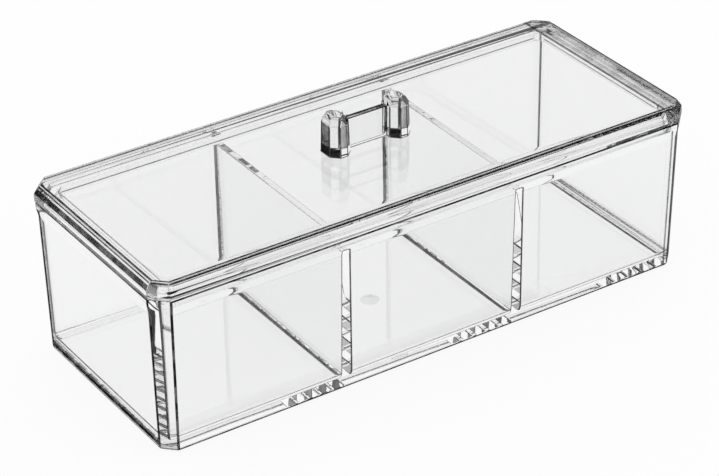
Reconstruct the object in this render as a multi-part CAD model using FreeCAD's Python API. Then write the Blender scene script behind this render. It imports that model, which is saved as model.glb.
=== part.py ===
import FreeCAD, Part
import math
import os

# A long clear storage box for make-up: three open compartments under a thick bevelled lid
# that lifts off by an H-shaped pull. Millimetres, +Z up, X along the box, front at -Y.
# The origin is on the table, under the middle of the box.

# Lid
lid_length = 220.0
lid_width = 88.0
lid_corner = 5.6
lid_thickness = 6.0
lid_bevel_run = 2.0
lid_bevel_rise = 3.0
lid_edge_round = 0.4
lid_overhang = 0.15

# Box, outside
box_height = 60.0
rim_corner = 5.7
rim_band = 2.5
rim_stand = 1.75
wall_lean = 1.1
flare_rise = 3.0
flare_blend = 8.0
foot_bevel = 0.8

# Box, inside
wall_at_rim = 3.3
wall_at_floor = 2.5
inner_corner = 0.8
floor_thickness = 3.0
floor_fillet = 3.5

# Dividers
compartments = 3
divider_drop = 5.0
divider_thick_top = 2.7
divider_thick_floor = 3.6
divider_crest_round = 0.5
toe_clearance = 0.1

# Locating rib under the lid
rib_clearance = 0.35
rib_thickness = 2.8
rib_taper = 0.3
rib_round = 1.1
rib_inner_corner = 2.8
rib_root_fillet = 1.4
rib_over_divider = 0.6

# Pull
post_spacing = 25.0
post_depth = 11.4
post_width = 8.6
post_corner = 2.8
post_height = 12.5
post_lean = 0.25
cap_rise = 2.2
cap_inset = 2.3
cap_corner = 1.5
web_thickness = 2.0
web_height = 12.0

# Levels and sizes that follow from the values above
lid_top = box_height + lid_thickness
flare_top = box_height - rim_band
flare_foot = flare_top - flare_rise
divider_top = box_height - divider_drop
rib_bottom = divider_top + rib_over_divider
rim_length = lid_length - 2 * lid_overhang
rim_width = lid_width - 2 * lid_overhang
floor_length = rim_length - 2 * (rim_stand + wall_at_floor)
reach = lid_length + lid_width
# Faces that lie this close to each other count as one where two bodies meet
match = 0.00001


def corner_at(corner, inset):
    """Leg of a 45 degree corner after the whole outline has moved inwards by an inset."""
    return corner - (2 - math.sqrt(2)) * inset


def turn_at(before, here, after, radius):
    """Where an arc that rounds a bend leaves the first line, its middle, and where it joins the next."""
    back = (before - here).normalize()
    onward = (after - here).normalize()
    half_angle = back.getAngle(onward) / 2
    bisector = (back + onward).normalize()
    run = radius / math.tan(half_angle)
    depth = radius / math.sin(half_angle) - radius
    return here + back * run, here + bisector * depth, here + onward * run


def rounded_face(points):
    """A flat face in the XZ plane through (x, z, radius) points, each bend rounded by its radius."""
    places = [FreeCAD.Vector(x, 0, z) for x, z, radius in points]
    bends = []
    for index, (x, z, radius) in enumerate(points):
        after = places[(index + 1) % len(places)]
        bends.append(turn_at(places[index - 1], places[index], after, radius))
    edges = []
    for index, (start, middle, end) in enumerate(bends):
        if points[index][2] > 0:
            edges.append(Part.Arc(start, middle, end).toShape())
        following = bends[(index + 1) % len(bends)][0]
        edges.append(Part.makeLine(end, following))
    return Part.Face(Part.Wire(edges))


def strip(half_width, section, turn):
    """An endless bar with one section on both sides, turned about the upright axis."""
    right = [(half_width - inset, z, radius) for inset, z, radius in section]
    left = [(-x, z, radius) for x, z, radius in reversed(right)]
    bar = rounded_face(right + left).extrude(FreeCAD.Vector(0, reach, 0))
    bar.translate(FreeCAD.Vector(0, -reach / 2, 0))
    bar.rotate(FreeCAD.Vector(0, 0, 0), FreeCAD.Vector(0, 0, 1), turn)
    return bar


def mitred(length, width, corner, section):
    """A body with 45 degree corners whose sides all follow one section of (inset, z, radius)."""
    across_corners = (length + width - 2 * corner) / math.sqrt(2)
    body = strip(length / 2, section, 0)
    for size, turn in ((width, 90), (across_corners, 45), (across_corners, -45)):
        body = body.common([strip(size / 2, section, turn)], match)
    return body.Solids[0]


def box_outside():
    """The leaning walls, the bevelled foot and the flare below the rim band."""
    return mitred(rim_length, rim_width, rim_corner, [
        (rim_stand + foot_bevel, 0, 0),
        (rim_stand, foot_bevel, 0),
        (rim_stand - wall_lean, flare_foot, flare_blend),
        (0, flare_top, flare_blend),
        (0, box_height, 0),
    ])


def box_inside(low_fillet):
    """The hollow of the box, with its filleted floor, as a solid."""
    length = rim_length - 2 * wall_at_rim
    width = rim_width - 2 * wall_at_rim
    lean = rim_stand + wall_at_floor - wall_at_rim
    return mitred(length, width, inner_corner, [
        (lean, floor_thickness, low_fillet),
        (0, box_height, 0),
    ])


def divider_plate(place):
    """One tapered plate across the box, cut to the walls and rounded to clear the floor fillet."""
    section = [
        (place - divider_thick_floor / 2, floor_thickness, 0),
        (place + divider_thick_floor / 2, floor_thickness, 0),
        (place + divider_thick_top / 2, divider_top, divider_crest_round),
        (place - divider_thick_top / 2, divider_top, divider_crest_round),
    ]
    plate = rounded_face(section).extrude(FreeCAD.Vector(0, reach, 0))
    plate.translate(FreeCAD.Vector(0, -reach / 2, 0))
    return plate.common(box_inside(floor_fillet + toe_clearance)).Solids[0]


def lid_cover():
    """The bevelled slab with the locating rib that hangs inside the rim."""
    slab = mitred(lid_length, lid_width, lid_corner, [
        (0, box_height, 0),
        (0, lid_top - lid_bevel_rise, lid_edge_round),
        (lid_bevel_run, lid_top, lid_edge_round),
    ])
    inset = wall_at_rim + rib_clearance
    length = rim_length - 2 * inset
    width = rim_width - 2 * inset
    corner = corner_at(rim_corner, inset)
    rib = mitred(length, width, corner, [
        (rib_taper, rib_bottom, rib_round),
        (0, box_height, 0),
    ])
    inner_length = length - 2 * rib_thickness
    inner_width = width - 2 * rib_thickness
    recess = mitred(inner_length, inner_width, rib_inner_corner, [
        (-rib_thickness / 2, rib_bottom - rib_round, 0),
        (-rib_thickness / 2, rib_bottom, 0),
        (0, rib_bottom, rib_round),
        (rib_taper, box_height, rib_root_fillet),
    ])
    return slab.fuse(rib.cut(recess)).removeSplitter()


def outline(length, width, corner, height):
    """A rectangle with 45 degree corners, lying flat at one height."""
    x = length / 2
    y = width / 2
    points = [
        (-x + corner, -y), (x - corner, -y), (x, -y + corner), (x, y - corner),
        (x - corner, y), (-x + corner, y), (-x, y - corner), (-x, -y + corner),
    ]
    corners = [FreeCAD.Vector(px, py, height) for px, py in points]
    return Part.makePolygon(corners + corners[:1])


def post(place):
    """One faceted post of the pull, with its bevelled crown."""
    shoulder = lid_top + post_height
    lean = 2 * post_lean
    inset = lean + 2 * cap_inset
    body = Part.makeLoft([
        outline(post_width, post_depth, post_corner, lid_top),
        outline(post_width - lean, post_depth - lean, post_corner, shoulder),
        outline(post_width - inset, post_depth - inset, cap_corner, shoulder + cap_rise),
    ], True, True)
    return body.translated(FreeCAD.Vector(place, 0, 0))


def pull():
    """Two posts joined by a thin web, standing on the lid."""
    web = Part.makeBox(
        post_spacing, web_thickness, web_height,
        FreeCAD.Vector(-post_spacing / 2, -web_thickness / 2, lid_top),
    )
    whole = web.fuse([post(-post_spacing / 2), post(post_spacing / 2)])
    return whole.removeSplitter()


def divider_places():
    """Middles of the dividers that part the floor into equal compartments."""
    count = compartments - 1
    pitch = (floor_length + divider_thick_floor) / compartments
    first = -pitch * (count - 1) / 2
    return [first + pitch * index for index in range(count)]


left_place, right_place = divider_places()
parts = {
    "box_shell": box_outside().cut(box_inside(floor_fillet)),
    "divider_left": divider_plate(left_place),
    "divider_right": divider_plate(right_place),
    "lid_cover": lid_cover(),
    "handle": pull(),
}

os.makedirs("parts", exist_ok=True)
for name, shape in parts.items():
    solids = shape.Solids
    if len(solids) != 1 or not shape.isValid():
        raise ValueError(name + " is not one sound solid")
    solids[0].exportStep("parts/" + name + ".step")
    print(name, round(solids[0].Volume / 1000, 2), "cm3")
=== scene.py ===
import math

import bmesh
import bpy
from bpy.props import FloatProperty, FloatVectorProperty, PointerProperty
from mathutils import Matrix, Vector


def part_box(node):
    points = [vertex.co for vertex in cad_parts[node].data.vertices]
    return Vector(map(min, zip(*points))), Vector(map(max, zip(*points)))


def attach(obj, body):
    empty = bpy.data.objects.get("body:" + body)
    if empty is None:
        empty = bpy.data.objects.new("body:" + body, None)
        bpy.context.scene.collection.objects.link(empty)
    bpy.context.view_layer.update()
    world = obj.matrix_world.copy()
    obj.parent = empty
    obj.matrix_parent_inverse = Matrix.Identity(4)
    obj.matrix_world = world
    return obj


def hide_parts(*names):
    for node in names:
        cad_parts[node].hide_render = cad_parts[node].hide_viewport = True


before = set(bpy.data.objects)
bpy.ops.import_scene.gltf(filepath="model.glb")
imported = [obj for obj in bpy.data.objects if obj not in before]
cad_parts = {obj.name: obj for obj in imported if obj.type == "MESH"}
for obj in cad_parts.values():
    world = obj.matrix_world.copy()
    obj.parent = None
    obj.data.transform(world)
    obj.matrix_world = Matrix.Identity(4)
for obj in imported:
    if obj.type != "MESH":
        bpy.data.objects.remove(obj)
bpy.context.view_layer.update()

bl_info = {
    "name": "Clear Make-up Box",
    "version": (1, 0, 0),
    "blender": (4, 5, 0),
    "location": "View3D > Sidebar > Make-up Box",
    "description": "Builds a clear lidded make-up box with three compartments and its studio",
    "category": "Add Mesh",
}

LID_LOW, LID_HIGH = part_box("lid_cover")
SHELL_LOW, SHELL_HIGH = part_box("box_shell")
PLATE_LOW, PLATE_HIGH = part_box("divider_right")
PULL_LOW, PULL_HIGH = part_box("handle")

MM = 0.001
PHOTO_WIDTH = 719
SENSOR_WIDTH = 36.0
# How much a 45 degree corner's leg shortens per unit that the outline moves inwards
CORNER_LOSS = 2 - math.sqrt(2)
# How deep bodies reach into each other where they are joined
SINK = 1.0 * MM
# Bends above the first angle are rounded, and shading breaks at bends above the second
ROUNDED_BEND = math.radians(24)
SHARP_BEND = math.radians(35)
# How often light may bounce between the clear walls
BOUNCES = 128

# Heights of the painted shade line low on the left wall, and of the softer painted shade line above
# it
LEFT_LINE = (1.8 * MM, 3.4 * MM, 4.5 * MM)
# Blocks of painted shade along the left divider's top, and where the right divider's grey painted
# top begins
CREST_BLOCKS = ((31.8 * MM, 37.8 * MM), (20.3 * MM, 25.6 * MM), (14.0 * MM, 18.6 * MM))
CREST_GREY = 22.0 * MM
# Depths below the lid's top of the band of painted shade on its left bevel
BAND_LINE = (1.2 * MM, 2.75 * MM)
# How far down the rib the painted shade line on its far walls begins, as a share of its height
RIB_LINE = 0.68
# The gate's mark from below the floor up, as shares of its radius and of its depth
GATE_PROFILE = ((3.0, -2.0), (1.0, 0.0), (0.65, 0.35), (0.35, 0.62), (0.05, 0.75))
# The extra bend in a post's crown, as shares of the crown's inset and rise
DOME_INSET, DOME_FOOT, DOME_BEND = 0.35, 0.25, 0.55
# In crown rises below the pull's top: where the crown's outline of painted shade begins on faces
# and on roundings, where its clear part ends, and where roundings of dark painted shade end
OUTLINE_FACE, OUTLINE_ROUND, CLEAR_CROWN, DARK_ROUND = 0.5, 0.6, 1.3, 1.6

# Points nearer than the first are welded, and nearer than the second to a cut are on it
WELD, ON_CUT = 0.01 * MM, 0.001 * MM
# How near a face is when it is level with something, strictly or by and large
LEVEL, MARGIN = 0.01 * MM, 0.05 * MM
# How near the left wall's foot its line is, and the floor the fillet's first faces
WALL_REACH, FILLET_REACH = 0.2 * MM, 0.1 * MM
# How deep the roundings of the front and of the far corner's outside lie
FRONT_REACH, CORNER_REACH = 3.0 * MM, 2.2 * MM
# How far faces look along an axis when flat, square to it, leaning, partly turned, upright
# and tilted
FLAT, SQUARE, LEANING, PARTLY, UPRIGHT, TILTED = 0.99, 0.95, 0.7, 0.3, 0.2, 0.05
# How much a face looks to two sides at a corner of the box or of the lid
BOX_CORNER, LID_CORNER = 1.3, 1.0
# How much faces and roundings look to the back and right when they outline a crown
AWAY_FACE, AWAY_ROUND = 0.15, 0.1
# How much the floor fillet's first faces look up
FILLET_UP = (0.6, 0.9999)

WHITE = (1.0, 1.0, 1.0)
# Noise scales, per metre
DRIFT_SCALE, FLOW_SCALE, MOTTLE_SCALE, PATCH_SCALE, WEAR_SCALE = 14.0, 32.0, 120.0, 170.0, 260.0
# Noise above the first wears the polish, by the second times the haze
WEAR_START, WEAR_GAIN = 0.45, 4
# Strength of the flow ripple
RIPPLE = 0.02
# Turns from the eye between which painted shade darkens the clear plastic
GRAZE = (0.86, 0.93)
# Noise values between which a mark of painted shade breaks up
PATCH_EDGE = (0.42, 0.58)
# Half the range of turns over which a slanting mark of painted shade fades in
SLANT_BLUR = 0.04
# How dark the painted shade on the pull's facets is by their turn from the eye, and how the mottle
# varies it
FACET_TONES = [(0.19, 0.0), (0.26, 0.76), (0.60, 0.76), (0.80, 0.70)]
MOTTLE_GAIN, MOTTLE_BASE = 1.2, 0.4
# How dark the painted shade on the crown is beside the facets, and the darkest painted shade of the
# pull
CROWN_TONE, DARKEST = 0.15, 0.98
# Heights above the lid between which the pull's painted base shadow ends, and its reach in corner
# legs
BASE_END, BASE_REACH = (3.2 * MM, 3.6 * MM), 1.05
# The floor's second tone, the scale of its grain, how much it glows and how low it lies
FLOOR_SHADE, FLOOR_GRAIN, FLOOR_GLOW, FLOOR_DROP = (0.91, 0.91, 0.91), 40.0, 0.9, 0.3 * MM
# Part of the cards' height where they begin to fade
CARD_FADE = 0.7


def length(name, description, default, low=0.0):
    """A length in metres that the sidebar shows in the scene's unit."""
    return FloatProperty(name=name, description=description, default=default, min=low,
                         unit="LENGTH", precision=5)


def tone(name, description, default):
    """A colour for a material."""
    return FloatVectorProperty(name=name, description=description, default=default,
                               subtype="COLOR", size=3, min=0.0, max=1.0)


def share(name, description, default):
    """A fraction between nought and one."""
    return FloatProperty(name=name, description=description, default=default, min=0.0, max=1.0,
                         subtype="FACTOR")


def angle(name, description, default):
    """An angle that the sidebar shows in the scene's unit."""
    return FloatProperty(name=name, description=description, default=default, subtype="ANGLE")


class BoxSizes(bpy.types.PropertyGroup):
    """Sizes of the box moulding."""
    rim_length: length("Rim length", "Box length at the rim", SHELL_HIGH.x - SHELL_LOW.x)
    rim_width: length("Rim width", "Box width at the rim", SHELL_HIGH.y - SHELL_LOW.y)
    rim_corner: length("Rim corner", "Leg of the 45 degree corners at the rim", 5.7 * MM)
    height: length("Height", "Height of the box without its lid", SHELL_HIGH.z)
    rim_band: length("Rim band", "Height of the upright band below the rim", 2.5 * MM)
    rim_stand: length("Rim stand", "How far the rim stands out from the foot", 1.75 * MM)
    wall_lean: length("Wall lean", "How far the wall leans out below the flare", 1.1 * MM)
    flare_rise: length("Flare rise", "Height over which the wall flares", 3.0 * MM)
    flare_blend: length("Flare blend", "Radius of the two bends of the flare", 8.0 * MM)
    foot_bevel: length("Foot bevel", "Bevel around the foot", 0.8 * MM)
    wall_at_rim: length("Wall at rim", "Wall thickness at the rim", 3.3 * MM)
    wall_at_floor: length("Wall at floor", "Wall thickness at the floor", 2.5 * MM)
    floor_thickness: length("Floor", "Thickness of the floor", PLATE_LOW.z)
    floor_fillet: length("Floor fillet", "Radius between the floor and the walls", 3.5 * MM)
    divider_place: length("Divider place", "Distance of each divider from the middle",
                          (PLATE_LOW.x + PLATE_HIGH.x) / 2)
    divider_top: length("Divider top", "Height of the dividers' top edge", PLATE_HIGH.z)
    divider_thick_top: length("Divider top thickness", "Divider thickness at the top", 2.7 * MM)
    divider_thick_floor: length("Divider foot thickness", "Divider thickness at the floor",
                                PLATE_HIGH.x - PLATE_LOW.x)
    divider_round: length("Divider round", "Rounding of the dividers' top edges", 0.5 * MM)
    edge_round: length("Edge round", "Rounding of the moulding's sharp edges", 0.5 * MM)
    # Line width to Toe line give the size and place of the strips of painted shade.
    line_width: length("Line width", "Width of the line beside the right wall's end", 0.7 * MM)
    foot_line: length("Foot line", "Height of the dark line at the foot of each divider", 0.95 * MM)
    side_line: length("Side line", "Width of the dark line beside the far left corner", 1.2 * MM)
    front_line: length("Front line", "Width of the line beside the front right corner", 0.55 * MM)
    front_gap: length("Front gap", "Distance of the front line from the corner", 0.98 * MM)
    toe_line: length("Toe line", "Width of the line at the back end of each divider", 1.3 * MM)
    seat_gap: length("Seat gap", "Film of air between the rim and the lid", 0.04 * MM)
    gate_radius: length("Gate radius", "Radius of the gate's mark under the floor", 3.6 * MM)
    gate_depth: length("Gate depth", "Depth of the gate's mark", 0.5 * MM)


class LidSizes(bpy.types.PropertyGroup):
    """Sizes of the lid moulding and its pull."""
    long_side: length("Length", "Length of the lid", LID_HIGH.x - LID_LOW.x)
    short_side: length("Width", "Width of the lid", LID_HIGH.y - LID_LOW.y)
    corner: length("Corner", "Leg of the 45 degree corners", 5.6 * MM)
    top: length("Top", "Height of the lid's flat top", LID_HIGH.z)
    bevel_run: length("Bevel run", "How far the top bevel reaches in", 2.0 * MM)
    bevel_rise: length("Bevel rise", "Height of the top bevel", 3.0 * MM)
    rib_clearance: length("Rib clearance", "Gap between the rib and the rim", 0.35 * MM)
    rib_thickness: length("Rib thickness", "Thickness of the locating rib", 2.8 * MM)
    rib_taper: length("Rib taper", "Taper of each side of the rib", 0.3 * MM)
    rib_round: length("Rib round", "Rounding of the rib's lower edge", 1.1 * MM)
    rib_root: length("Rib root", "Fillet between the rib and the slab", 1.4 * MM)
    rib_over_divider: length("Rib over divider", "Gap between the rib and the dividers", 0.6 * MM)
    # Top line to Far line give the size of the strips of painted shade and of the grey painted
    # shade at the top's right end.
    top_line: length("Top line", "Width of the line beside the top's near edges", 1.1 * MM)
    bevel_line: length("Bevel line", "Height of that line's part on the bevel", 0.65 * MM)
    veil: length("Veil", "Width of the grey look of the top's right end", 8.0 * MM)
    veil_line: length("Veil line", "Width of the dark line beside the grey end", 1.2 * MM)
    far_line: length("Far line", "Width of the line on the rib's far inner walls", 0.45 * MM)
    rib_corner: length("Rib corner", "Leg of the 45 degree corners inside the rib", 2.8 * MM)
    edge_round: length("Edge round", "Rounding of the moulding's sharp edges", 0.3 * MM)
    post_spacing: length("Post spacing", "Distance between the posts of the pull", 25.0 * MM)
    post_depth: length("Post depth", "Size of a post across the lid", PULL_HIGH.y - PULL_LOW.y)
    post_width: length("Post width", "Size of a post along the lid", 8.6 * MM)
    post_corner: length("Post corner", "Leg of a post's 45 degree corners", 2.8 * MM)
    post_lean: length("Post lean", "Draft of each side of a post", 0.25 * MM)
    cap_rise: length("Cap rise", "Height of a post's bevelled crown", 2.2 * MM)
    cap_inset: length("Cap inset", "How far the crown's bevel reaches in", 2.3 * MM)
    cap_corner: length("Cap corner", "Leg of the crown's 45 degree corners", 1.5 * MM)
    web_thickness: length("Web thickness", "Thickness of the web between the posts", 2.0 * MM)
    web_height: length("Web height", "Height of the web between the posts", 12.0 * MM)
    web_round: length("Web round", "Rounding of the web's top edges", 0.3 * MM)


class PlasticLook(bpy.types.PropertyGroup):
    """Tints of the clear plastic, and how dark its marks of painted shade look."""
    clear: tone("Clear", "Tint of the clear plastic", (0.965, 0.966, 0.967))
    clear_shade: tone("Clear shade", "Slightly denser tint that drifts through the plastic",
                      (0.945, 0.947, 0.949))
    # The edge tone is the painted shade that every dark mark lays on the clear plastic where
    # refraction and reflection make it look dark; the shares from Band share to Pull edge share set
    # how much of it each mark gets.
    edge: tone("Edge", "Dark tone that gathers in the rounded edges", (0.012, 0.012, 0.013))
    band_share: share("Band share", "Darkness of the band on the left bevel", 0.95)
    plain_share: share("Plain share", "Darkness of the lid's top and underside", 0.03)
    box_edge_share: share("Box edge share", "Darkness of the box's edges", 1.0)
    crest_share: share("Crest share", "Darkness of the blocks on the left divider's top", 0.97)
    weak_share: share("Weak share", "Darkness of the box's weakest lines", 0.15)
    soft_share: share("Soft share", "Darkness of the softer lines", 0.75)
    graze_share: share("Graze share", "Darkness where the eye grazes the plastic", 0.85)
    side_shade_share: share("Smoke share", "Darkness of the lid's right and the crowns' fronts", 0.55)
    corner_share: share("Corner share", "Darkness of the lid's two outer corners", 0.88)
    end_shade_share: share("Veil share", "Darkness of the top's right end", 0.42)
    line_share: share("Line share", "Darkness of the lid's lines", 0.97)
    lid_edge_share: share("Lid edge share", "Darkness of the lid's edges", 0.15)
    pull_edge_share: share("Pull edge share", "Darkness of the pull's edges", 0.9)
    refraction: FloatProperty(name="Refraction", description="Refractive index of the plastic",
                              default=1.5, min=1.0, max=2.0)
    haze: share("Haze", "Greatest roughness of the polished faces", 0.02)


class StudioSetup(bpy.types.PropertyGroup):
    """The floor, cards, lamps and camera."""
    floor_tone: tone("Floor", "Colour of the floor", (0.93, 0.93, 0.93))
    floor_size: length("Floor size", "Half the floor's side", 14.0)
    card_radius: length("Card radius", "Distance of the dark cards", 1.2)
    card_height: length("Card height", "Height of the dark cards", 0.95)
    card_tone: share("Card tone", "Brightness of the dark cards", 0.03)
    card_spread: angle("Card spread", "Angle that each card covers", 1.6)
    camera_turn: angle("Camera turn", "Camera's turn about the upright axis", -0.577856271)
    camera_rise: angle("Camera rise", "Camera's angle above the table", 0.541046425)
    camera_roll: angle("Camera roll", "Camera's turn about its own view", -0.0160094843)
    camera_distance: length("Camera distance", "Distance from the aim point", 0.994918964)
    camera_focal: FloatProperty(name="Focal length", default=2803.98568, min=1.0,
                                description="Focal length in pixels of the photo")
    aim_side: length("Aim side", "Aim point, sideways", -0.00265037341, low=-1.0)
    aim_height: length("Aim height", "Aim point, above the table", 0.0266172574)


# Outlines and bodies

def octagon(long_side, short_side, corner, inset, height, middle=0.0):
    """Eight corners of a level outline, moved in by an inset, anticlockwise from above."""
    x = long_side / 2 - inset
    y = short_side / 2 - inset
    leg = max(corner - CORNER_LOSS * inset, 0.0)
    flat = [(-x + leg, -y), (x - leg, -y), (x, -y + leg), (x, y - leg),
            (x - leg, y), (-x + leg, y), (-x, y - leg), (-x, -y + leg)]
    return [Vector((middle + px, py, height)) for px, py in flat]


def rounded_section(points, steps=6):
    """An open section's (inset, height) points, with arcs at its (inset, height, radius) bends."""
    places = [Vector((inset, height)) for inset, height, radius in points]
    result = [places[0]]
    for before, here, after, bend in zip(places, places[1:], places[2:], points[1:]):
        radius = bend[2]
        if radius <= 0:
            result.append(here)
            continue
        back = (before - here).normalized()
        onward = (after - here).normalized()
        half_angle = back.angle(onward) / 2
        bisector = (back + onward).normalized()
        centre = here + bisector * (radius / math.sin(half_angle))
        start = here + back * (radius / math.tan(half_angle)) - centre
        sweep = math.pi - 2 * half_angle
        sign = 1 if start.x * onward.y - start.y * onward.x > 0 else -1
        for step in range(steps + 1):
            angle = sign * sweep * step / steps
            turned = Vector((start.x * math.cos(angle) - start.y * math.sin(angle),
                             start.x * math.sin(angle) + start.y * math.cos(angle)))
            result.append(centre + turned)
    result.append(places[-1])
    return [(place.x, place.y) for place in result]


def finish_body(name, shape):
    """Turns a mesh in the making, which is used up, into an object in the scene."""
    mesh = bpy.data.meshes.new(name)
    shape.to_mesh(mesh)
    shape.free()
    body = bpy.data.objects.new(name, mesh)
    bpy.context.scene.collection.objects.link(body)
    return body


def skin(name, rings):
    """A closed body through rings of points, given from one end to the other."""
    shape = bmesh.new()
    loops = [[shape.verts.new(point) for point in ring] for ring in rings]
    count = len(rings[0])
    for low, high in zip(loops, loops[1:]):
        for index in range(count):
            following = (index + 1) % count
            shape.faces.new((low[index], low[following], high[following], high[index]))
    shape.faces.new(list(reversed(loops[0])))
    shape.faces.new(loops[-1])
    bmesh.ops.remove_doubles(shape, verts=shape.verts, dist=WELD)
    bmesh.ops.recalc_face_normals(shape, faces=shape.faces)
    return finish_body(name, shape)


def mitred(name, long_side, short_side, corner, section):
    """A body with 45 degree corners whose sides all follow one rounded section."""
    return skin(name, [octagon(long_side, short_side, corner, inset, height)
                       for inset, height in rounded_section(section)])


def bake_modifiers(body):
    """Turns the body and its modifiers into a plain mesh."""
    graph = bpy.context.evaluated_depsgraph_get()
    mesh = bpy.data.meshes.new_from_object(body.evaluated_get(graph))
    old = body.data
    body.modifiers.clear()
    body.data = mesh
    mesh.name = body.name
    bpy.data.meshes.remove(old)


def combine(body, tool, operation):
    """Joins, cuts or keeps the overlap of a body with a tool, which is used up."""
    step = body.modifiers.new("combine", "BOOLEAN")
    step.operation = operation
    step.solver = "EXACT"
    step.object = tool
    bake_modifiers(body)
    bpy.data.objects.remove(tool)
    return body


def slice_faces(body, place, normal):
    """Splits a body's faces along a plane without changing its shape."""
    shape = bmesh.new()
    shape.from_mesh(body.data)
    parts = [*shape.verts, *shape.edges, *shape.faces]
    bmesh.ops.bisect_plane(shape, geom=parts, dist=ON_CUT, plane_co=place, plane_no=normal)
    shape.to_mesh(body.data)
    shape.free()


def soften(body, radius, plastic):
    """Rounds sharp edges a little, gives the roundings a plastic, and shades smoothly."""
    step = body.modifiers.new("soften", "BEVEL")
    step.width = radius
    step.segments = 2
    step.limit_method = "ANGLE"
    step.angle_limit = ROUNDED_BEND
    step.material = slot(body, plastic)
    step.use_clamp_overlap = False
    bake_modifiers(body)
    body.data.shade_smooth()
    body.data.set_sharp_from_angle(angle=SHARP_BEND)
    level = body.modifiers.new("level", "WEIGHTED_NORMAL")
    level.mode = "FACE_AREA"
    level.weight = 100
    level.keep_sharp = True
    bake_modifiers(body)


def level_plane(height):
    """A point and the normal of a level plane."""
    return Vector((0.0, 0.0, height)), Vector((0.0, 0.0, 1.0))


def slot(body, plastic):
    """The slot of a plastic on a body."""
    return body.data.materials.keys().index(plastic + "_plastic")


def mark_faces(body, pick, *facts, only=None):
    """Gives faces, or only those of one plastic, the plastic that a function names for them."""
    for face in body.data.polygons:
        if only is None or face.material_index == slot(body, only):
            plastic = pick(face, *facts)
            if plastic:
                face.material_index = slot(body, plastic)


def check_closed(body):
    """Stops when a body isn't one closed skin, because clear plastic shows every gap."""
    shape = bmesh.new()
    shape.from_mesh(body.data)
    open_edges = sum(not edge.is_manifold for edge in shape.edges)
    shape.free()
    if open_edges:
        raise RuntimeError(f"{body.name} has {open_edges} open edges")


# Materials

class Value:
    """A shader socket that takes part in Python expressions."""

    def __init__(self, nodes, socket):
        self.nodes = nodes
        self.socket = socket

    def _math(self, operation, first, second):
        return self.nodes.add("ShaderNodeMath", {"operation": operation}, {0: first, 1: second})

    def __add__(self, other):
        return self._math("ADD", self, other)

    def __radd__(self, other):
        return self._math("ADD", other, self)

    def __sub__(self, other):
        return self._math("SUBTRACT", self, other)

    def __rsub__(self, other):
        return self._math("SUBTRACT", other, self)

    def __mul__(self, other):
        return self._math("MULTIPLY", self, other)

    def __rmul__(self, other):
        return self._math("MULTIPLY", other, self)

    def at_least(self, other):
        return self._math("MAXIMUM", self, other)

    def at_most(self, other):
        return self._math("MINIMUM", self, other)


class Nodes:
    """The node tree of one material or world."""

    def __init__(self, owner):
        owner.use_nodes = True
        self.owner = owner
        self.tree = owner.node_tree
        self.tree.nodes.clear()

    def add(self, kind, settings=None, inputs=None, output=0):
        """Adds a node, applies its settings, then fills its sockets with values or links."""
        node = self.tree.nodes.new(kind)
        for key, value in (settings or {}).items():
            if key == "stops":
                ramp = node.color_ramp
                while len(ramp.elements) < len(value):
                    ramp.elements.new(1.0)
                for element, (place, shade) in zip(ramp.elements, value):
                    element.position = place
                    element.color = (shade, shade, shade, 1.0)
            else:
                setattr(node, key, value)
        for key, value in (inputs or {}).items():
            socket = node.inputs[key]
            if isinstance(value, Value):
                self.tree.links.new(value.socket, socket)
            elif socket.type == "RGBA":
                socket.default_value = (*value, 1.0)
            else:
                socket.default_value = value
        if not node.outputs:
            return node
        return Value(self, node.outputs[output])

    def blend_colours(self, factor, first, second):
        """Mixes two colours."""
        return self.add("ShaderNodeMix", {"data_type": "RGBA"}, {0: factor, 6: first, 7: second}, 2)

    def noise(self, place, scale, detail):
        """Noise through a space."""
        return self.add("ShaderNodeTexNoise", None, {
            "Vector": place, "Scale": scale, "Detail": detail})

    def between(self, value, low, high, start=0.0, end=1.0):
        """Goes from one number to another while a value goes from low to high."""
        return self.add("ShaderNodeMapRange", None, {
            "Value": value, "From Min": low, "From Max": high, "To Min": start, "To Max": end})

    def own_place(self):
        """The place of a point in the object's own space."""
        return self.add("ShaderNodeTexCoord", None, None, 3)

    def turn(self):
        """How far the surface turns from the eye, from 0 to 1."""
        return self.add("ShaderNodeLayerWeight", None, {"Blend": 0.5}, 1)

    def surface(self, shader):
        """Links a shader to the output and returns the material."""
        self.add("ShaderNodeOutputMaterial", None, {"Surface": shader})
        return self.owner


def plastic_nodes(name):
    """The emptied node tree of a plastic."""
    name += "_plastic"
    return Nodes(bpy.data.materials.get(name) or bpy.data.materials.new(name))


def polished(nodes, look, place, sockets=None):
    """A clear glossy shader with faint wear, some of whose sockets may be given."""
    wear = (nodes.noise(place, WEAR_SCALE, 4.0) - WEAR_START).at_least(0.0)
    return nodes.add("ShaderNodeBsdfPrincipled", None, {
        "Base Color": tuple(look.clear), "Roughness": wear * (look.haze * WEAR_GAIN),
        "IOR": look.refraction, "Transmission Weight": 1.0, **(sockets or {})})


def darken(nodes, look, amount, shader):
    """Covers a shader with the dark tone of painted shade by an amount, and finishes the material.
    """
    dark = nodes.add("ShaderNodeBsdfDiffuse", None, {"Color": tuple(look.edge)})
    return nodes.surface(nodes.add("ShaderNodeMixShader", None, {0: amount, 1: shader, 2: dark}))


def clear_plastic(name, look):
    """Polished clear plastic with a drift of tint, wear and flow ripple, and painted shade where it
    grazes.
    """
    nodes = plastic_nodes(name)
    place = nodes.own_place()
    drift = nodes.noise(place, DRIFT_SCALE, 2.0)
    colour = nodes.blend_colours(drift, tuple(look.clear), tuple(look.clear_shade))
    bump = nodes.add("ShaderNodeBump", None, {
        "Strength": RIPPLE, "Distance": MM, "Height": nodes.noise(place, FLOW_SCALE, 1.0)})
    shader = polished(nodes, look, place, {"Base Color": colour, "Normal": bump})
    grazing_shade = nodes.between(nodes.turn(), *GRAZE, 0.0, look.graze_share)
    return darken(nodes, look, grazing_shade, shader)


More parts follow.
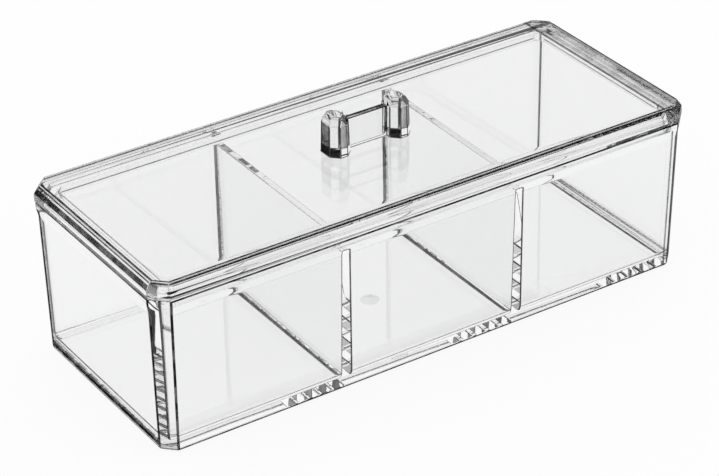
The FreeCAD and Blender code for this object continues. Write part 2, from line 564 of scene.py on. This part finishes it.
def marked_plastic(name, look, dark_share, broken=0.12, slant=None):
    """Clear plastic with painted shade, a dark tone that is broken up, and with a slant is clear
    face-on.
    """
    nodes = plastic_nodes(name)
    place = nodes.own_place()
    patches = nodes.noise(place, PATCH_SCALE, 2.0)
    amount = nodes.between(patches, *PATCH_EDGE, dark_share * (1 - broken), dark_share)
    if slant:
        amount = amount * nodes.between(nodes.turn(), slant - SLANT_BLUR, slant + SLANT_BLUR)
    return darken(nodes, look, amount, polished(nodes, look, place))


def faceted_plastic(name, look, lid):
    """Clear plastic of the pull, with painted shade where facets turn from the eye and a painted
    shadow left at its base.
    """
    nodes = plastic_nodes(name)
    place = nodes.own_place()
    mottle = nodes.noise(place, MOTTLE_SCALE, 2.0)
    facets = nodes.add("ShaderNodeValToRGB", {"stops": FACET_TONES}, {"Fac": nodes.turn()})
    parts = nodes.add("ShaderNodeSeparateXYZ", None, {0: place}).socket.node
    side = Value(nodes, parts.outputs[0])
    height = Value(nodes, parts.outputs[2])
    shoulder = PULL_HIGH.z - lid.cap_rise * CLEAR_CROWN
    crown = nodes.between(height, shoulder, shoulder + MM, 1.0, CROWN_TONE)
    above_base = nodes.between(height, *(lid.top + rise for rise in BASE_END))
    # Both posts repeat one pattern of painted shadow at the base, from the left side of each
    shift = (lid.post_spacing + lid.post_width) / 2
    repeat = nodes.add("ShaderNodeMath", {"operation": "FRACT"},
                       {0: (side + shift) * (1.0 / lid.post_spacing)})
    left_side = nodes.add("ShaderNodeMath", {"operation": "LESS_THAN"}, {
        0: repeat, 1: lid.post_corner / lid.post_spacing * BASE_REACH})
    facets = facets * crown * above_base * (mottle * MOTTLE_GAIN + MOTTLE_BASE)
    amount = (facets + left_side * (1.0 - above_base)).at_most(DARKEST)
    return darken(nodes, look, amount, polished(nodes, look, place))


def dress(body, *materials):
    """Gives a body its materials."""
    for material in materials:
        body.data.materials.append(material)


# The box moulding

def shell_blank(box):
    """The outside of the box as a solid."""
    return mitred("clear_box", box.rim_length, box.rim_width, box.rim_corner, [
        (box.rim_stand + box.foot_bevel, 0.0, 0),
        (box.rim_stand, box.foot_bevel, 0),
        (box.rim_stand - box.wall_lean, box.height - box.rim_band - box.flare_rise,
         box.flare_blend),
        (0.0, box.height - box.rim_band, box.flare_blend),
        (0.0, box.height - box.seat_gap, 0),
    ])


def shell_hollow(box):
    """The hollow of the box as a solid that stands out above the rim."""
    lean = box.rim_stand + box.wall_at_floor - box.wall_at_rim
    rise = box.height - box.floor_thickness
    above = 3 * MM
    long_side = box.rim_length - 2 * box.wall_at_rim
    short_side = box.rim_width - 2 * box.wall_at_rim
    return mitred("hollow", long_side, short_side, 0.0, [
        (lean + 2 * box.floor_fillet, box.floor_thickness, 0),
        (lean, box.floor_thickness, box.floor_fillet),
        (-lean * above / rise, box.height + above, 0),
    ])


def divider_tool(box, side):
    """One divider as a long tapered bar with a rounded top, wider than the hollow."""
    middle = side * box.divider_place
    low = box.floor_thickness - SINK
    half_low = box.divider_thick_floor / 2
    half_top = box.divider_thick_top / 2
    right = rounded_section([(half_low, low, 0), (half_top, box.divider_top, box.divider_round),
                             (0.0, box.divider_top, 0)], 4)
    section = right + [(-x, z) for x, z in reversed(right[:-1])]
    reach = box.rim_width
    return skin("divider", [[Vector((middle + x, y, z)) for x, z in section]
                            for y in (-reach, reach)])


def gate_mark(box):
    """A shallow round dimple at the middle of the floor's underside."""
    count = 40
    turns = [2 * math.pi * step / count for step in range(count)]
    return skin("gate", [[Vector((width * box.gate_radius * math.cos(turn),
                                  width * box.gate_radius * math.sin(turn),
                                  rise * box.gate_depth)) for turn in turns]
                         for width, rise in GATE_PROFILE])


def leaning_plane(reach, lean, low, high, turn):
    """A point and the outward normal of a plane that leans out between two levels."""
    across = Vector((math.cos(turn), math.sin(turn), 0.0))
    normal = across * (high - low) - Vector((0.0, 0.0, lean))
    return across * reach + Vector((0.0, 0.0, low)), normal.normalized()


def box_planes(box):
    """Planes beside the box's outlines, which bound the lines of painted shade there."""
    flare_foot = box.height - box.rim_band - box.flare_rise
    diagonal = ((box.rim_length + box.rim_width) / 2 - box.rim_corner) / math.sqrt(2)
    diagonal -= box.rim_stand
    side = box.rim_length / 2 - box.rim_stand - box.line_width
    behind = box.rim_width / 2 - box.rim_stand - box.wall_at_floor - box.toe_line
    hollow_lean = box.rim_stand + box.wall_at_floor - box.wall_at_rim

    def outside(reach, turn):
        return leaning_plane(reach, box.wall_lean, box.foot_bevel, flare_foot, turn)

    return {
        "right": outside(side, 0.0),
        "far left": outside(diagonal - box.side_line, 0.75 * math.pi),
        "divider end": leaning_plane(behind, hollow_lean, box.floor_thickness, box.height,
                                     0.5 * math.pi),
        "front inner": outside(diagonal - box.front_gap - box.front_line, -0.25 * math.pi),
        "front outer": outside(diagonal - box.front_gap, -0.25 * math.pi),
    }


def box_line_plastic(face, box, planes):
    """The plastic of painted shade for a face in a line beside an outline, at a divider or along
    the floor.
    """
    x, y, z = face.center
    across, along, up = face.normal
    beyond = {name: (face.center - place).dot(normal) > 0.0
              for name, (place, normal) in planes.items()}
    looks_left = across < -SQUARE
    looks_near = across - along > BOX_CORNER
    on_wall = box.foot_bevel < z < box.height - box.rim_band
    on_left_wall = x < box.rim_stand + WALL_REACH - box.rim_length / 2
    above_floor = z - box.floor_thickness
    from_divider = x - math.copysign(box.divider_place, x)
    on_divider = (-box.divider_thick_floor / 2 < from_divider < 0.0
                  and 0.0 < above_floor and z < box.divider_top)
    if on_wall and (beyond["right"] and looks_near or beyond["far left"] and looks_left):
        return "box_edge"
    if on_divider and looks_left and (beyond["divider end"] or above_floor < box.foot_line):
        return "box_edge"
    if on_left_wall and looks_left and LEFT_LINE[0] < z < LEFT_LINE[2]:
        return "box_edge" if z < LEFT_LINE[1] else "soft_line"
    if on_wall and along < -SQUARE and beyond["front inner"] and not beyond["front outer"]:
        return "soft_line"
    # The gate's mark gets a weak painted shade.
    if math.hypot(x, y) < box.gate_radius and LEVEL < z < box.gate_depth:
        return "rim_edge"
    fillet_start = LEVEL < above_floor < FILLET_REACH and FILLET_UP[0] < up < FILLET_UP[1]
    if fillet_start and across < -TILTED and x > 2 * box.divider_place:
        return "box_edge"
    if fillet_start and along < -TILTED:
        return "rim_edge"


def crest_faces(shape, box):
    """The flat faces on top of the dividers."""
    return [face for face in shape.faces
            if abs(face.calc_center_median().z - box.divider_top) < LEVEL
            and face.normal.z > FLAT]


def mark_crests(body, box):
    """Cuts the dividers' tops across and paints shade on the left one's blocks and the right one's
    front.
    """
    shape = bmesh.new()
    shape.from_mesh(body.data)
    for place in sorted([CREST_GREY, *(end for block in CREST_BLOCKS for end in block)]):
        faces = crest_faces(shape, box)
        parts = dict.fromkeys(part for face in faces for part in (*face.verts, *face.edges, face))
        bmesh.ops.bisect_plane(shape, geom=list(parts), dist=ON_CUT,
                               plane_co=(0.0, place, 0.0), plane_no=(0.0, 1.0, 0.0))
    for face in crest_faces(shape, box):
        x, y, z = face.calc_center_median()
        if x > 0.0 and y < CREST_GREY:
            face.material_index = slot(body, "rim_edge")
        elif x < 0.0 and any(low < y < high for low, high in CREST_BLOCKS):
            face.material_index = slot(body, "crest")
    shape.to_mesh(body.data)
    shape.free()


def box_edge_plastic(face, box):
    """A lighter plastic of painted shade, or the clear one, for roundings of the far corner, the
    rim, the foot and the dividers.
    """
    x, y, z = face.center
    inset = min(box.rim_length / 2 - abs(x), box.rim_width / 2 - abs(y))
    far_corner = x + y > (box.rim_length + box.rim_width) / 2 - 2 * box.rim_corner
    at_front = y < FRONT_REACH - box.rim_width / 2
    from_divider = x - math.copysign(box.divider_place, x)
    right_of_divider = 0.0 < from_divider < box.divider_thick_floor and y > -box.rim_width / 3
    if far_corner and inset < CORNER_REACH and z > 2 * box.foot_bevel:
        return "clear_box"
    if z < box.foot_bevel / 2:
        return "rim_edge"
    if z > box.height - box.rim_band / 2 and inset > box.wall_at_rim / 2:
        return "rim_edge"
    if z < 2 * box.foot_bevel and not at_front:
        return "soft_line" if x < -2 * box.divider_place else "rim_edge"
    if right_of_divider and box.floor_thickness < z < box.divider_top - MM:
        return "rim_edge"


class MAKEUPBOX_OT_box(bpy.types.Operator):
    """Build the clear box with its two dividers as one moulding"""
    bl_idname = "makeupbox.box"
    bl_label = "Box With Dividers"

    def execute(self, context):
        box = context.scene.makeup_box
        look = context.scene.makeup_plastic
        body = shell_blank(box)
        hollow = shell_hollow(box)
        for side in (-1, 1):
            combine(hollow, divider_tool(box, side), "DIFFERENCE")
        combine(body, hollow, "DIFFERENCE")
        combine(body, gate_mark(box), "DIFFERENCE")
        # Besides the clear plastic, these plastics lay painted shade on the box's roundings, lines
        # and divider blocks.
        dress(body, clear_plastic("clear_box", look),
              marked_plastic("box_edge", look, look.box_edge_share),
              marked_plastic("rim_edge", look, look.weak_share),
              marked_plastic("soft_line", look, look.soft_share),
              marked_plastic("crest", look, look.crest_share, 0.35))
        planes = box_planes(box)
        heights = (box.floor_thickness + box.foot_line, *LEFT_LINE)
        for place, normal in (*planes.values(), *map(level_plane, heights)):
            slice_faces(body, place, normal)
        mark_faces(body, box_line_plastic, box, planes)
        mark_crests(body, box)
        soften(body, box.edge_round, "box_edge")
        mark_faces(body, box_edge_plastic, box, only="box_edge")
        check_closed(body)
        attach(body, "box")
        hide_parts("box_shell", "divider_left", "divider_right")
        return {"FINISHED"}


# The lid moulding

def lid_blank(box, lid):
    """The bevelled slab and its locating rib, from the top edge down and back up inside the rib."""
    inset = (lid.long_side - box.rim_length) / 2 + box.wall_at_rim + lid.rib_clearance
    foot = box.divider_top + lid.rib_over_divider
    under = box.height
    inner = inset + lid.rib_thickness
    bottom = inset + lid.rib_thickness / 2
    inner_corner = lid.rib_corner + CORNER_LOSS * inner
    section = rounded_section([
        (lid.bevel_run, lid.top, 0),
        (0.0, lid.top - lid.bevel_rise, 0),
        (0.0, under, 0),
        (inset, under, 0),
        (inset + lid.rib_taper, foot, lid.rib_round),
        (inner, foot, lid.rib_round),
        (inner + lid.rib_taper, under, lid.rib_root),
        (inner + lid.rib_taper + 2 * lid.rib_root, under, 0),
    ])
    return skin("clear_lid", [octagon(lid.long_side, lid.short_side,
                                      inner_corner if w > bottom else lid.corner, w, z)
                              for w, z in section])


def post(lid, side):
    """One faceted post of the pull, sunk a little into the slab."""
    shoulder = PULL_HIGH.z - lid.cap_rise
    dome = lid.post_lean + lid.cap_inset * DOME_INSET
    levels = [(0.0, lid.post_corner, lid.top - SINK), (0.0, lid.post_corner, lid.top),
              (lid.post_lean, lid.post_corner, shoulder - lid.cap_rise * DOME_FOOT),
              (dome, lid.post_corner, shoulder + lid.cap_rise * DOME_BEND),
              (lid.post_lean + lid.cap_inset, lid.cap_corner, PULL_HIGH.z)]
    return skin("post", [octagon(lid.post_width, lid.post_depth, leg + CORNER_LOSS * inset,
                                 inset, height, side * lid.post_spacing / 2)
                         for inset, leg, height in levels])


def web(lid):
    """The thin plate between the posts."""
    half = lid.web_thickness / 2
    top = lid.top + lid.web_height
    section = rounded_section([(half, lid.top - SINK, 0), (half, top, lid.web_round),
                               (0.0, top, 0)], 3)
    ring = section + [(-y, z) for y, z in reversed(section[:-1])]
    reach = lid.post_spacing / 2
    return skin("web", [[Vector((x, y, z)) for y, z in ring] for x in (-reach, reach)])


def lid_inset(lid, place):
    """How far a point lies in from the lid's outline, and whether its side faces front or left."""
    long_way = lid.long_side / 2 - abs(place.x)
    short_way = lid.short_side / 2 - abs(place.y)
    corner_way = (long_way + short_way - lid.corner) / math.sqrt(2)
    near = place.y < 0 if short_way < long_way else place.x < 0
    return min(long_way, short_way, corner_way), near


def lid_planes(box, lid):
    """Planes that bound the painted shade lines on the lid's edges, the painted shade of its right
    end, its bevel and its ribs.
    """
    edge = lid.bevel_run + lid.top_line
    diagonal = ((lid.long_side + lid.short_side) / 2 - lid.corner) / math.sqrt(2) - edge
    end = lid.long_side / 2 - lid.bevel_run - lid.veil
    rib = box.height - RIB_LINE * (box.height - box.divider_top - lid.rib_over_divider)
    right, back = Vector((1.0, 0.0, 0.0)), Vector((0.0, 1.0, 0.0))
    far = (right + back).normalized()
    return {
        "front edge": (back * (edge - lid.short_side / 2), back),
        "left edge": (right * (edge - lid.long_side / 2), right),
        "near corner": (far * -diagonal, far),
        "veil": (right * end, right),
        "veil line": (right * (end - lid.veil_line), right),
        "band top": level_plane(lid.top - BAND_LINE[0]),
        "band foot": level_plane(lid.top - BAND_LINE[1]),
        "bevel line": level_plane(lid.top - lid.bevel_line),
        "rib foot": level_plane(rib),
        "rib top": level_plane(rib + lid.far_line),
    }


def looks_away(normal):
    """How much a face looks to the right and to the back."""
    return normal.x + 1.5 * normal.y


def pull_plastic(face, lid):
    """The plastic of a face of the pull, with painted shade on its facets, fronts and crown
    outlines.
    """
    x, y, z = face.center
    across, along, up = face.normal
    on_post = abs(y) > lid.web_thickness or abs(x) > lid.post_spacing / 2
    if on_post and z < PULL_HIGH.z - lid.cap_rise and min(across, along) < -PARTLY:
        return "pull"
    # The posts' fronts get painted shade.
    if on_post and along < -LEANING:
        return "smoke"
    # The crown's far outline gets a line of painted shade.
    outlines = z > PULL_HIGH.z - OUTLINE_FACE * lid.cap_rise and up < SQUARE
    if outlines and looks_away(face.normal) > AWAY_FACE:
        return "veil_line"


def lid_plastic(face, box, lid, planes):
    """The plastic of a face of the pull, the top, a line, the right end or a corner, with its
    painted shade.
    """
    x, y, z = face.center
    across, along, up = face.normal
    inset, near = lid_inset(lid, face.center)
    at_end = lid.long_side / 2 - abs(x) < lid.short_side / 2 - abs(y)
    if z > lid.top + MARGIN:
        return pull_plastic(face, lid)
    # The top's near edges get a line of painted shade.
    if near and z > lid.top - lid.bevel_line and inset < lid.bevel_run + lid.top_line:
        return "gap"
    if z > lid.top - MARGIN:
        # The top's right end gets grey painted shade with a line of painted shade beside it, and
        # the rest of the top a faint painted shade.
        if x < planes["veil line"][0].x:
            return "lid_under"
        return "veil" if x > planes["veil"][0].x else "veil_line"
    rib_inside = (lid.long_side - box.rim_length) / 2 + box.wall_at_rim + lid.rib_clearance
    rib_inside += lid.rib_thickness - MARGIN
    on_rib_line = planes["rib foot"][0].z < z < planes["rib top"][0].z
    # The rib's far inner walls get a line of painted shade.
    if not near and on_rib_line and abs(up) < UPRIGHT and inset > rib_inside:
        return "rib_far"
    # The underside and the front rib get a faint painted shade.
    if abs(z - box.height) < MARGIN and up < -FLAT or near and not at_end and z < box.height:
        return "lid_under"
    # The left bevel gets a band of painted shade.
    if across < -LEANING and up > PARTLY and BAND_LINE[0] < lid.top - z < BAND_LINE[1]:
        return "band"
    on_side = z > box.height + MARGIN and inset < lid.bevel_run
    # The lid's two outer corners get painted shade.
    if on_side and abs(across - along) > LID_CORNER and x * y < 0:
        return "corner"
    # The lid's right side gets painted shade.
    if on_side and across > LEANING:
        return "smoke"


def lid_edge_plastic(face, box, lid):
    """A darker plastic of painted shade for roundings of the pull and of the lid's lower outer
    edge.
    """
    z = face.center.z
    if z > lid.top + lid.edge_round / 2:
        on_web = abs(face.center.x) < (lid.post_spacing - lid.post_width) / 2
        if on_web or z < PULL_HIGH.z - DARK_ROUND * lid.cap_rise:
            return "pull_edge"
        outlines = z > PULL_HIGH.z - OUTLINE_ROUND * lid.cap_rise
        if outlines and looks_away(face.normal) > AWAY_ROUND:
            return "veil_line"
    # The lid's lower outer rounding gets a line of painted shade at the joint.
    elif z < box.height + 2 * lid.edge_round and lid_inset(lid, face.center)[0] < MM:
        return "gap"


class MAKEUPBOX_OT_lid(bpy.types.Operator):
    """Build the clear lid with its locating rib and faceted pull as one moulding"""
    bl_idname = "makeupbox.lid"
    bl_label = "Lid With Pull"

    def execute(self, context):
        box = context.scene.makeup_box
        lid = context.scene.makeup_lid
        look = context.scene.makeup_plastic
        body = lid_blank(box, lid)
        pull = post(lid, -1)
        combine(pull, post(lid, 1), "UNION")
        combine(pull, web(lid), "UNION")
        combine(body, pull, "UNION")
        # Besides the clear plastic, these plastics lay painted shade on the lid's pull, lines,
        # roundings, right end, sides and corners.
        dress(body, clear_plastic("clear_lid", look),
              marked_plastic("lid_edge", look, look.lid_edge_share),
              faceted_plastic("pull", look, lid),
              marked_plastic("veil", look, look.end_shade_share, 0.4, 0.3),
              marked_plastic("pull_edge", look, look.pull_edge_share),
              marked_plastic("gap", look, look.line_share),
              marked_plastic("smoke", look, look.side_shade_share, 0.5),
              marked_plastic("corner", look, look.corner_share, 0.15),
              marked_plastic("veil_line", look, look.soft_share, 0.1, 0.3),
              marked_plastic("band", look, look.band_share),
              marked_plastic("lid_under", look, look.plain_share),
              marked_plastic("rib_far", look, look.line_share, 0.12, 0.2))
        planes = lid_planes(box, lid)
        for place, normal in planes.values():
            slice_faces(body, place, normal)
        mark_faces(body, lid_plastic, box, lid, planes)
        soften(body, lid.edge_round, "lid_edge")
        mark_faces(body, lid_edge_plastic, box, lid, only="lid_edge")
        check_closed(body)
        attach(body, "lid")
        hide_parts("lid_cover", "handle")
        return {"FINISHED"}


# The studio

def floor_material(studio):
    """A pale matt floor that glows for the eye, for gloss and for plastic, and so looks white."""
    nodes = Nodes(bpy.data.materials.new("studio_floor"))
    grain = nodes.add("ShaderNodeTexNoise", None, {"Scale": FLOOR_GRAIN, "Detail": 2.0})
    colour = nodes.blend_colours(grain, tuple(studio.floor_tone), FLOOR_SHADE)
    matt = nodes.add("ShaderNodeBsdfDiffuse", None, {"Color": colour})
    path = nodes.add("ShaderNodeLightPath").socket.node
    eye, gloss, plastic = (Value(nodes, path.outputs[f"Is {ray} Ray"])
                           for ray in ("Camera", "Glossy", "Transmission"))
    amount = eye.at_least(gloss).at_least(plastic) * FLOOR_GLOW
    glow = nodes.add("ShaderNodeEmission", None, {"Color": WHITE, "Strength": 1.0})
    return nodes.surface(nodes.add("ShaderNodeMixShader", None, {0: amount, 1: matt, 2: glow}))


def card_material(studio):
    """A dark card whose upper edge fades out."""
    nodes = Nodes(bpy.data.materials.new("studio_card"))
    height = nodes.add("ShaderNodeSeparateXYZ", None, {0: nodes.own_place()}, 2)
    fade = nodes.between(height, studio.card_height * CARD_FADE, studio.card_height)
    dark = nodes.add("ShaderNodeEmission", None, {"Color": WHITE, "Strength": studio.card_tone})
    clear = nodes.add("ShaderNodeBsdfTransparent", None, {"Color": WHITE})
    return nodes.surface(nodes.add("ShaderNodeMixShader", None, {0: fade, 1: dark, 2: clear}))


def make_floor(studio):
    """A large level floor just under the object."""
    half = studio.floor_size
    shape = bmesh.new()
    shape.faces.new([shape.verts.new((x, y, -FLOOR_DROP))
                     for x, y in ((-half, -half), (half, -half), (half, half), (-half, half))])
    floor = finish_body("studio_floor", shape)
    dress(floor, floor_material(studio))


def make_cards(studio):
    """Dark cards to the left and right, which only gloss and plastic show."""
    shape = bmesh.new()
    count = 24
    for side in (0, 1):
        middle = studio.camera_turn + side * math.pi
        columns = []
        for step in range(count + 1):
            angle = middle + studio.card_spread * (step / count - 0.5)
            x = studio.card_radius * math.cos(angle)
            y = studio.card_radius * math.sin(angle)
            columns.append([shape.verts.new((x, y, z)) for z in (0.0, studio.card_height)])
        for left, right in zip(columns, columns[1:]):
            shape.faces.new((left[0], right[0], right[1], left[1]))
    cards = finish_body("studio_cards", shape)
    dress(cards, card_material(studio))
    cards.visible_camera = False
    cards.visible_diffuse = False
    cards.visible_shadow = False


def make_world():
    """An even, pale studio."""
    world = bpy.data.worlds.new("studio")
    bpy.context.scene.world = world
    nodes = Nodes(world)
    light = nodes.add("ShaderNodeBackground", None, {"Color": WHITE, "Strength": 1.0})
    nodes.add("ShaderNodeOutputWorld", None, {"Surface": light})


def make_camera(studio):
    """The camera of the photograph."""
    turn, rise = studio.camera_turn, studio.camera_rise
    right = Vector((math.cos(turn), math.sin(turn), 0.0))
    back = Vector((math.sin(turn) * math.cos(rise), -math.cos(turn) * math.cos(rise),
                   math.sin(rise)))
    up = back.cross(right)
    across = right * math.cos(studio.camera_roll) + up * math.sin(studio.camera_roll)
    above = up * math.cos(studio.camera_roll) - right * math.sin(studio.camera_roll)
    aim = right * studio.aim_side + Vector((0.0, 0.0, studio.aim_height))
    place = aim + back * studio.camera_distance
    lens = bpy.data.cameras.new("photo_camera")
    lens.sensor_width = SENSOR_WIDTH
    lens.lens = studio.camera_focal / PHOTO_WIDTH * SENSOR_WIDTH
    lens.clip_start = 0.01
    camera = bpy.data.objects.new("photo_camera", lens)
    bpy.context.scene.collection.objects.link(camera)
    axes = Matrix((across, above, back)).transposed().to_4x4()
    camera.matrix_world = Matrix.Translation(place) @ axes
    bpy.context.scene.camera = camera


class MAKEUPBOX_OT_studio(bpy.types.Operator):
    """Set up the floor, the dark cards, the light and the camera"""
    bl_idname = "makeupbox.studio"
    bl_label = "Studio"

    def execute(self, context):
        studio = context.scene.makeup_studio
        make_floor(studio)
        make_cards(studio)
        make_world()
        make_camera(studio)
        context.scene.view_settings.view_transform = "Standard"
        context.scene.cycles.max_bounces = BOUNCES
        context.scene.cycles.transmission_bounces = BOUNCES
        context.scene.cycles.glossy_bounces = BOUNCES
        return {"FINISHED"}


class MAKEUPBOX_PT_panel(bpy.types.Panel):
    """Buttons and sizes for the make-up box"""
    bl_label = "Make-up Box"
    bl_idname = "MAKEUPBOX_PT_panel"
    bl_space_type = "VIEW_3D"
    bl_region_type = "UI"
    bl_category = "Make-up Box"

    def draw(self, context):
        layout = self.layout
        for operator in OPERATORS:
            layout.operator(operator.bl_idname)
        for name in GROUPS:
            group = getattr(context.scene, name)
            block = layout.box()
            block.label(text=group.bl_rna.name)
            for key in group.bl_rna.properties.keys():
                if key not in ("rna_type", "name"):
                    block.prop(group, key)


GROUPS = {
    "makeup_box": BoxSizes,
    "makeup_lid": LidSizes,
    "makeup_plastic": PlasticLook,
    "makeup_studio": StudioSetup,
}
OPERATORS = (MAKEUPBOX_OT_studio, MAKEUPBOX_OT_box, MAKEUPBOX_OT_lid)
CLASSES = (*GROUPS.values(), *OPERATORS, MAKEUPBOX_PT_panel)


def register():
    for item in CLASSES:
        bpy.utils.register_class(item)
    for name, group in GROUPS.items():
        setattr(bpy.types.Scene, name, PointerProperty(type=group))


def unregister():
    for name in GROUPS:
        delattr(bpy.types.Scene, name)
    for item in reversed(CLASSES):
        bpy.utils.unregister_class(item)


def main():
    register()
    bpy.ops.makeupbox.studio()
    bpy.ops.makeupbox.box()
    bpy.ops.makeupbox.lid()


if __name__ == "__main__":
    main()
